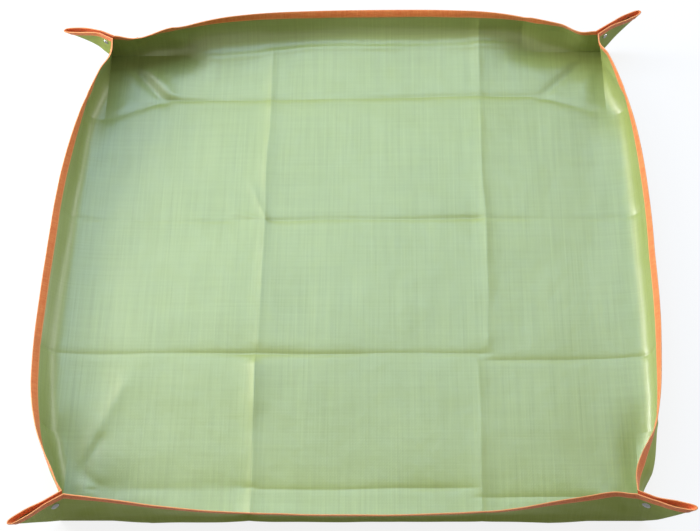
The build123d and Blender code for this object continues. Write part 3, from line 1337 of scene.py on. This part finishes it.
class WovenTapes:
    """Shared effect: flat tapes woven over and under each other, with uneven runs of thread."""

    @staticmethod
    def group() -> bpy.types.NodeTree:
        """Build the group once.

        Returns:
            A group that takes flat places, a tape pitch and a run length, and gives a height and a shade.
        """
        name = "woven_tapes"
        if name in bpy.data.node_groups:
            return bpy.data.node_groups[name]
        number, vector = "NodeSocketFloat", "NodeSocketVector"
        tree, graph = new_group(
            name, {"Place": vector, "Pitch": number, "Run": number}, {"Height": number, "Shade": number}
        )
        given = graph.node("NodeGroupInput")
        split = graph.node("ShaderNodeSeparateXYZ", {0: given.outputs["Place"]})
        warp = graph.math("DIVIDE", split.outputs[0], given.outputs["Pitch"])
        weft = graph.math("DIVIDE", split.outputs[1], given.outputs["Pitch"])
        crowns = []
        for axis in (warp, weft):
            wave = graph.math("SINE", graph.math("MULTIPLY", axis, math.pi))
            crowns.append(graph.math("ABSOLUTE", wave))
        cell = graph.math("ADD", graph.math("FLOOR", warp), graph.math("FLOOR", weft))
        over = graph.math("FLOORED_MODULO", cell, 2.0)
        under = graph.math("SUBTRACT", 1.0, over)
        parts = [graph.math("MULTIPLY", crown, share) for crown, share in zip(crowns, (over, under))]
        runs = []
        for across, along, weight in ((warp, weft, 0.68), (weft, warp, 0.32)):
            thread = graph.math("MULTIPLY", graph.math("FLOOR", across), 0.7)
            length = graph.math("MULTIPLY", along, given.outputs["Pitch"])
            far = graph.math("DIVIDE", length, given.outputs["Run"])
            place = graph.node("ShaderNodeCombineXYZ", {0: thread, 1: far})
            runs.append(graph.math("MULTIPLY", graph.noise(place.outputs[0], 1.0, 1.0), weight))
        results = {"Height": graph.math("ADD", *parts), "Shade": graph.math("ADD", *runs)}
        graph.node("NodeGroupOutput", results)
        return tree


@dataclass(frozen=True)
class Finish:
    """Base of a finish: a named material with a Principled shader."""

    name: str

    def start(self) -> tuple[bpy.types.Material, Graph, bpy.types.Node]:
        """Make the material.

        Returns:
            The material, its graph and its shader node.
        """
        material = bpy.data.materials.new(self.name)
        material.use_nodes = True
        graph = Graph(material.node_tree)
        shader = next(n for n in material.node_tree.nodes if n.type == "BSDF_PRINCIPLED")
        return material, graph, shader

    @staticmethod
    def weave(graph: Graph, pitch: float, run: float) -> tuple[bpy.types.NodeSocket, ...]:
        """Weave flat tapes on the sheet's flat places.

        Args:
            graph: Graph of the material.
            pitch: Width of a tape.
            run: Length over which a tape's shade changes.

        Returns:
            The flat places, and the height and the shade of the tapes there.
        """
        place = graph.node("ShaderNodeUVMap", uv_map=FLAT_MAP).outputs[0]
        inputs = {"Place": place, "Pitch": pitch, "Run": run}
        woven = graph.node("ShaderNodeGroup", node_tree=WovenTapes.group())
        graph.feed(woven, inputs)
        return place, woven.outputs["Height"], woven.outputs["Shade"]


def linear(red: float, green: float, blue: float) -> Colour:
    """Turn screen values of 0 to 255 into a scene colour."""
    shares = (c / 255.0 for c in (red, green, blue))
    values = (c / 12.92 if c <= 0.04045 else ((c + 0.055) / 1.055) ** 2.4 for c in shares)
    return (*values, 1.0)


@dataclass(frozen=True)
class CoatedSheet(Finish):
    """Coated sheet of woven tapes, sage green, with a painted sheen that makes the floor paler and painted
    shade in the weave's valleys.
    """

    name: str = "coated_sheet"
    deep: Colour = linear(133, 145, 75)
    pale: Colour = linear(152, 164, 92)
    # painted sheen: pale, bluer colour that stands in for the light the floor reflects
    painted_sheen: Colour = linear(158, 176, 128)
    # painted shade: darker colour in the weave's valleys, between the tapes
    painted_valley_shade: Colour = linear(104, 115, 58)
    clouded: Colour = linear(168, 182, 124)
    # share of the painted sheen on the floor
    painted_sheen_share: float = 0.12
    gloss: tuple[float, float] = (0.29, 0.36)
    specular: float = 0.7
    pitch: float = 0.0024
    run: float = 0.16

    def make(self) -> bpy.types.Material:
        """Build the material."""
        material, graph, shader = self.start()
        place, height, shade = self.weave(graph, self.pitch, self.run)
        split = graph.node("ShaderNodeSeparateXYZ", {0: place})
        sides = [graph.math("ABSOLUTE", split.outputs[i]) for i in (0, 1)]
        cloud = graph.noise(place, 9.0, 3.0)
        ragged = graph.math("ADD", graph.math("MAXIMUM", *sides), graph.math("MULTIPLY", cloud, 0.05))
        edge = SIZES.floor_half
        # Painted sheen: the floor is mixed towards a pale colour, which fades out as the sheet turns up into
        # the walls.
        painted_sheen_mask = graph.ranged(ragged, (edge - 0.03, edge + 0.05), (self.painted_sheen_share, 0.0))
        tone = graph.mixed(graph.ranged(shade, (0.25, 0.75), (0.0, 1.0)), self.deep, self.pale)
        tone = graph.mixed(painted_sheen_mask, tone, self.painted_sheen)
        tone = graph.mixed(graph.ranged(cloud, (0.35, 0.7), (0.0, 0.12)), tone, self.clouded)
        # Painted shade in the weave's valleys.
        tone = graph.mixed(graph.ranged(height, (0.0, 0.6), (0.10, 0.0)), tone, self.painted_valley_shade)
        rumple = graph.bump(graph.noise(place, 48.0, 1.0), 0.25, 0.0018)
        inputs = {
            "Base Color": tone,
            "Roughness": graph.ranged(graph.noise(place, 38.0, 2.0), (0.3, 0.7), self.gloss),
            "Specular IOR Level": self.specular,
            "Normal": graph.bump(height, 0.4, 0.0002, Normal=rumple),
        }
        graph.feed(shader, inputs)
        return material


# The same coated sheet on its outer side. Its tones are set lighter than the inside's to make up for the
# little light that reaches the outer faces: painted light, not a real difference between the two sides.
OUTSIDE = CoatedSheet(
    name="coated_sheet_outside",
    deep=linear(148, 161, 74),
    pale=linear(161, 174, 88),
    # painted shade in the weave's valleys
    painted_valley_shade=linear(114, 124, 54),
    painted_sheen_share=0.0,
    gloss=(0.5, 0.62),
    specular=0.18,
)


@dataclass(frozen=True)
class BindingTape(Finish):
    """Orange woven tape of the bound edge, with painted highlights along its folds and painted shade in its
    weave's valleys.
    """

    name: str = "binding_tape"
    deep: Colour = linear(228, 108, 36)
    pale: Colour = linear(244, 142, 68)
    # painted shade: darker colour in the weave's valleys
    painted_valley_shade: Colour = linear(206, 90, 28)
    # painted highlight: pale colour along the tape's crown and hem edges
    painted_edge_highlight: Colour = linear(255, 186, 118)
    pitch: float = 0.0011
    run: float = 0.02

    def make(self) -> bpy.types.Material:
        """Build the material."""
        material, graph, shader = self.start()
        place, height, shade = self.weave(graph, self.pitch, self.run)
        tone = graph.mixed(graph.ranged(shade, (0.3, 0.7), (0.0, 1.0)), self.deep, self.pale)
        # Painted shade in the weave's valleys.
        tone = graph.mixed(graph.ranged(height, (0.0, 0.7), (0.25, 0.0)), tone, self.painted_valley_shade)
        # Painted highlight: the tape is paler along its crown and both its hem edges, where light catches the
        # folds.
        girth = graph.node("ShaderNodeSeparateXYZ", {0: place}).outputs[1]
        face = SIZES.tape_width + SIZES.tape_crown
        below = graph.math("ABSOLUTE", graph.math("SUBTRACT", girth, face))
        middle = graph.math("ABSOLUTE", graph.math("SUBTRACT", below, face / 2))
        painted_edge_highlight = graph.ranged(middle, (0.36 * face, 0.48 * face), (0.0, 0.55))
        inputs = {
            "Base Color": graph.mixed(painted_edge_highlight, tone, self.painted_edge_highlight),
            "Roughness": graph.ranged(height, (0.0, 1.0), (0.8, 0.55)),
            "Sheen Weight": 0.2,
            "Normal": graph.bump(height, 0.7, 0.0003),
        }
        graph.feed(shader, inputs)
        return material


@dataclass(frozen=True)
class StitchThread(Finish):
    """Twisted sewing thread of the binding."""

    name: str = "stitch_thread"
    deep: Colour = linear(214, 108, 48)
    pale: Colour = linear(250, 164, 100)

    def make(self) -> bpy.types.Material:
        """Build the material."""
        material, graph, shader = self.start()
        place = graph.node("ShaderNodeTexCoord").outputs["Object"]
        twist = graph.noise(graph.stretched(place, (900.0, 900.0, 900.0)), 1.0, 2.0)
        inputs = {
            "Base Color": graph.mixed(twist, self.deep, self.pale),
            "Roughness": graph.ranged(twist, (0.0, 1.0), (0.5, 0.7)),
            "Normal": graph.bump(twist, 0.4, 0.0001),
        }
        graph.feed(shader, inputs)
        return material


@dataclass(frozen=True)
class SnapMetal(Finish):
    """Plated metal of the press studs, with fine handling marks and a painted reflection that darkens it
    where it mirrors what lies low.
    """

    name: str = "snap_plating"
    deep: Colour = linear(184, 185, 182)
    pale: Colour = linear(222, 222, 218)
    # painted reflection: dark colour mixed in where the metal mirrors what lies low
    low: Colour = linear(70, 72, 68)  # where it mirrors what lies low

    def make(self) -> bpy.types.Material:
        """Build the material."""
        material, graph, shader = self.start()
        place = graph.node("ShaderNodeTexCoord").outputs["Object"]
        marks = graph.noise(graph.stretched(place, (700.0, 2600.0, 700.0)), 1.0, 4.0)
        cloud = graph.noise(place, 260.0, 3.0)
        tone = graph.mixed(cloud, self.deep, self.pale)
        # Painted reflection: darker where the reflected ray points down.
        thrown = graph.node("ShaderNodeTexCoord").outputs["Reflection"]
        height = graph.node("ShaderNodeSeparateXYZ", {0: thrown}).outputs[2]
        painted_reflection_share = graph.ranged(height, (-0.5, 0.35), (0.75, 0.0))
        inputs = {
            "Base Color": graph.mixed(painted_reflection_share, tone, self.low),
            "Metallic": 1.0,
            "Roughness": graph.ranged(marks, (0.3, 0.7), (0.16, 0.32)),
            "Normal": graph.bump(marks, 0.12, 0.0001),
        }
        graph.feed(shader, inputs)
        return material


# Studio


@dataclass(frozen=True)
class SoftBox:
    """Rectangular studio lamp that points at the mat."""

    name: str
    place: tuple[float, float, float]
    size: tuple[float, float]
    power: float
    tint: tuple[float, float, float] = (1.0, 1.0, 1.0)
    aim: tuple[float, float, float] = (0.0, 0.0, 0.0)

    def build(self) -> None:
        """Hang the lamp."""
        lamp = bpy.data.lights.new(self.name, "AREA")
        lamp.color = self.tint
        lamp.shape = "RECTANGLE"
        lamp.size, lamp.size_y = self.size
        lamp.energy = self.power
        hung = bpy.data.objects.new(self.name, lamp)
        hung.location = self.place
        hung.rotation_euler = (Vector(self.aim) - Vector(self.place)).to_track_quat("-Z", "Y").to_euler()
        bpy.context.scene.collection.objects.link(hung)


@dataclass(frozen=True)
class StudioCamera:
    """Camera at the photograph's place, with the photograph's small tilt."""

    azimuth: float = 3.67
    elevation: float = 60.42
    roll: float = -3.47
    distance: float = 2.4055
    target: tuple[float, float, float] = (-0.0043, 0.0031, 0.0)
    lens: float = 77.34

    def build(self) -> None:
        """Set up the scene's camera."""
        turn, lift, tilt = (math.radians(v) for v in (self.azimuth, self.elevation, self.roll))
        back = Vector(
            (math.sin(turn) * math.cos(lift), -math.cos(turn) * math.cos(lift), math.sin(lift))
        )
        right = (-back).cross(Vector((0, 0, 1))).normalized()
        up = right.cross(-back).normalized()
        level_right = right * math.cos(tilt) + up * math.sin(tilt)
        level_up = up * math.cos(tilt) - right * math.sin(tilt)
        data = bpy.data.cameras.new("studio_camera")
        data.lens = self.lens
        data.sensor_width = 36.0
        data.sensor_fit = "HORIZONTAL"
        camera = bpy.data.objects.new("studio_camera", data)
        camera.matrix_world = Matrix.Translation(Vector(self.target) + back * self.distance) @ Matrix(
            (level_right, level_up, back)
        ).transposed().to_4x4()
        bpy.context.scene.collection.objects.link(camera)
        bpy.context.scene.camera = camera


@dataclass(frozen=True)
class Studio:
    """Pale floor, soft lamps and the camera."""

    lamps: tuple[SoftBox, ...] = (
        SoftBox("back_softbox", (-0.25, 1.55, 2.6), (2.6, 1.9), 68.0, (0.44, 0.67, 1.0)),
        SoftBox("left_softbox", (-2.4, 0.6, 0.85), (1.4, 1.0), 84.0),
        SoftBox("corner_softbox", (-2.1, 1.6, 2.2), (1.1, 1.1), 34.0),
        SoftBox("right_softbox", (2.4, 1.2, 1.3), (1.6, 1.2), 27.0),
    )
    world_light: float = 0.28
    bounce: float = 0.5  # share of the light that the floor throws back at the mat
    paper: float = 0.86  # grey of the floor where the camera sees it
    shadow_share: float = 0.16
    side: float = 14.0
    drop: float = 0.0004  # of the floor below the mat

    @staticmethod
    def seen(graph: Graph) -> bpy.types.NodeSocket:
        """1 for rays from the camera, and for those seen in gloss or glass."""
        path = graph.node("ShaderNodeLightPath")
        glossy = graph.math("MAXIMUM", path.outputs["Is Camera Ray"], path.outputs["Is Glossy Ray"])
        return graph.math("MAXIMUM", glossy, path.outputs["Is Transmission Ray"])

    def floor(self) -> None:
        """Lay the pale floor, which keeps the mat's shadow."""
        bpy.ops.object.select_all(action="DESELECT")
        bpy.ops.mesh.primitive_plane_add(size=self.side, location=(0.0, 0.0, -self.drop))
        ground = bpy.context.object
        ground.name = "studio_floor"
        material = bpy.data.materials.new("studio_floor")
        material.use_nodes = True
        graph = Graph(material.node_tree)
        material.node_tree.nodes.clear()
        path = graph.node("ShaderNodeLightPath")
        grey = graph.ranged(path.outputs["Is Camera Ray"], (0.0, 1.0), (self.bounce, self.paper))
        matt = graph.node("ShaderNodeBsdfDiffuse", {"Color": grey})
        white = graph.node("ShaderNodeEmission", {"Color": WHITE, "Strength": 1.0})
        share = graph.math("MULTIPLY", self.seen(graph), 1.0 - self.shadow_share)
        mix = graph.node("ShaderNodeMixShader", {0: share, 1: matt.outputs[0], 2: white.outputs[0]})
        graph.node("ShaderNodeOutputMaterial", {"Surface": mix.outputs[0]})
        ground.data.materials.append(material)

    def world(self) -> None:
        """Light the mat evenly from all round, before a white backdrop."""
        world = bpy.data.worlds.new("studio_world")
        bpy.context.scene.world = world
        world.use_nodes = True
        graph = Graph(world.node_tree)
        world.node_tree.nodes.clear()
        soft = graph.node("ShaderNodeBackground", {"Color": WHITE, "Strength": self.world_light})
        white = graph.node("ShaderNodeBackground", {"Color": WHITE, "Strength": 1.0})
        shaders = {0: self.seen(graph), 1: soft.outputs[0], 2: white.outputs[0]}
        mix = graph.node("ShaderNodeMixShader", shaders)
        graph.node("ShaderNodeOutputWorld", {"Surface": mix.outputs[0]})

    def build(self) -> None:
        """Set up the whole studio."""
        self.floor()
        self.world()
        for lamp in self.lamps:
            lamp.build()
        StudioCamera().build()
        bpy.context.scene.view_settings.view_transform = "Standard"


# Whole mat


def plate_snaps(nodes: dict[str, bpy.types.Object]) -> None:
    """Give the press studs of the CAD model their plating.

    Args:
        nodes: CAD nodes by name.
    """
    plating = SnapMetal().make()
    for name, node in nodes.items():
        if "_snap_" in name:
            node.data.materials.clear()
            node.data.materials.append(plating)
            LOG.info("%s: plated", name)


def main() -> None:
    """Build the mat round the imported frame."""
    logging.basicConfig(level=logging.INFO, format="%(name)s: %(message)s")
    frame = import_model()
    inside, outside = CoatedSheet().make(), OUTSIDE.make()
    finishes = Finishes(outside, inside, BindingTape().make(), StitchThread().make())
    FloorPanel().build(finishes)
    for wall in Wall:
        WallPanel(wall).build(finishes)
    for corner in Corner:
        CornerFlap(corner).build(finishes)
    plate_snaps(frame["nodes"])
    Studio().build()


if __name__ == "__main__":
    main()
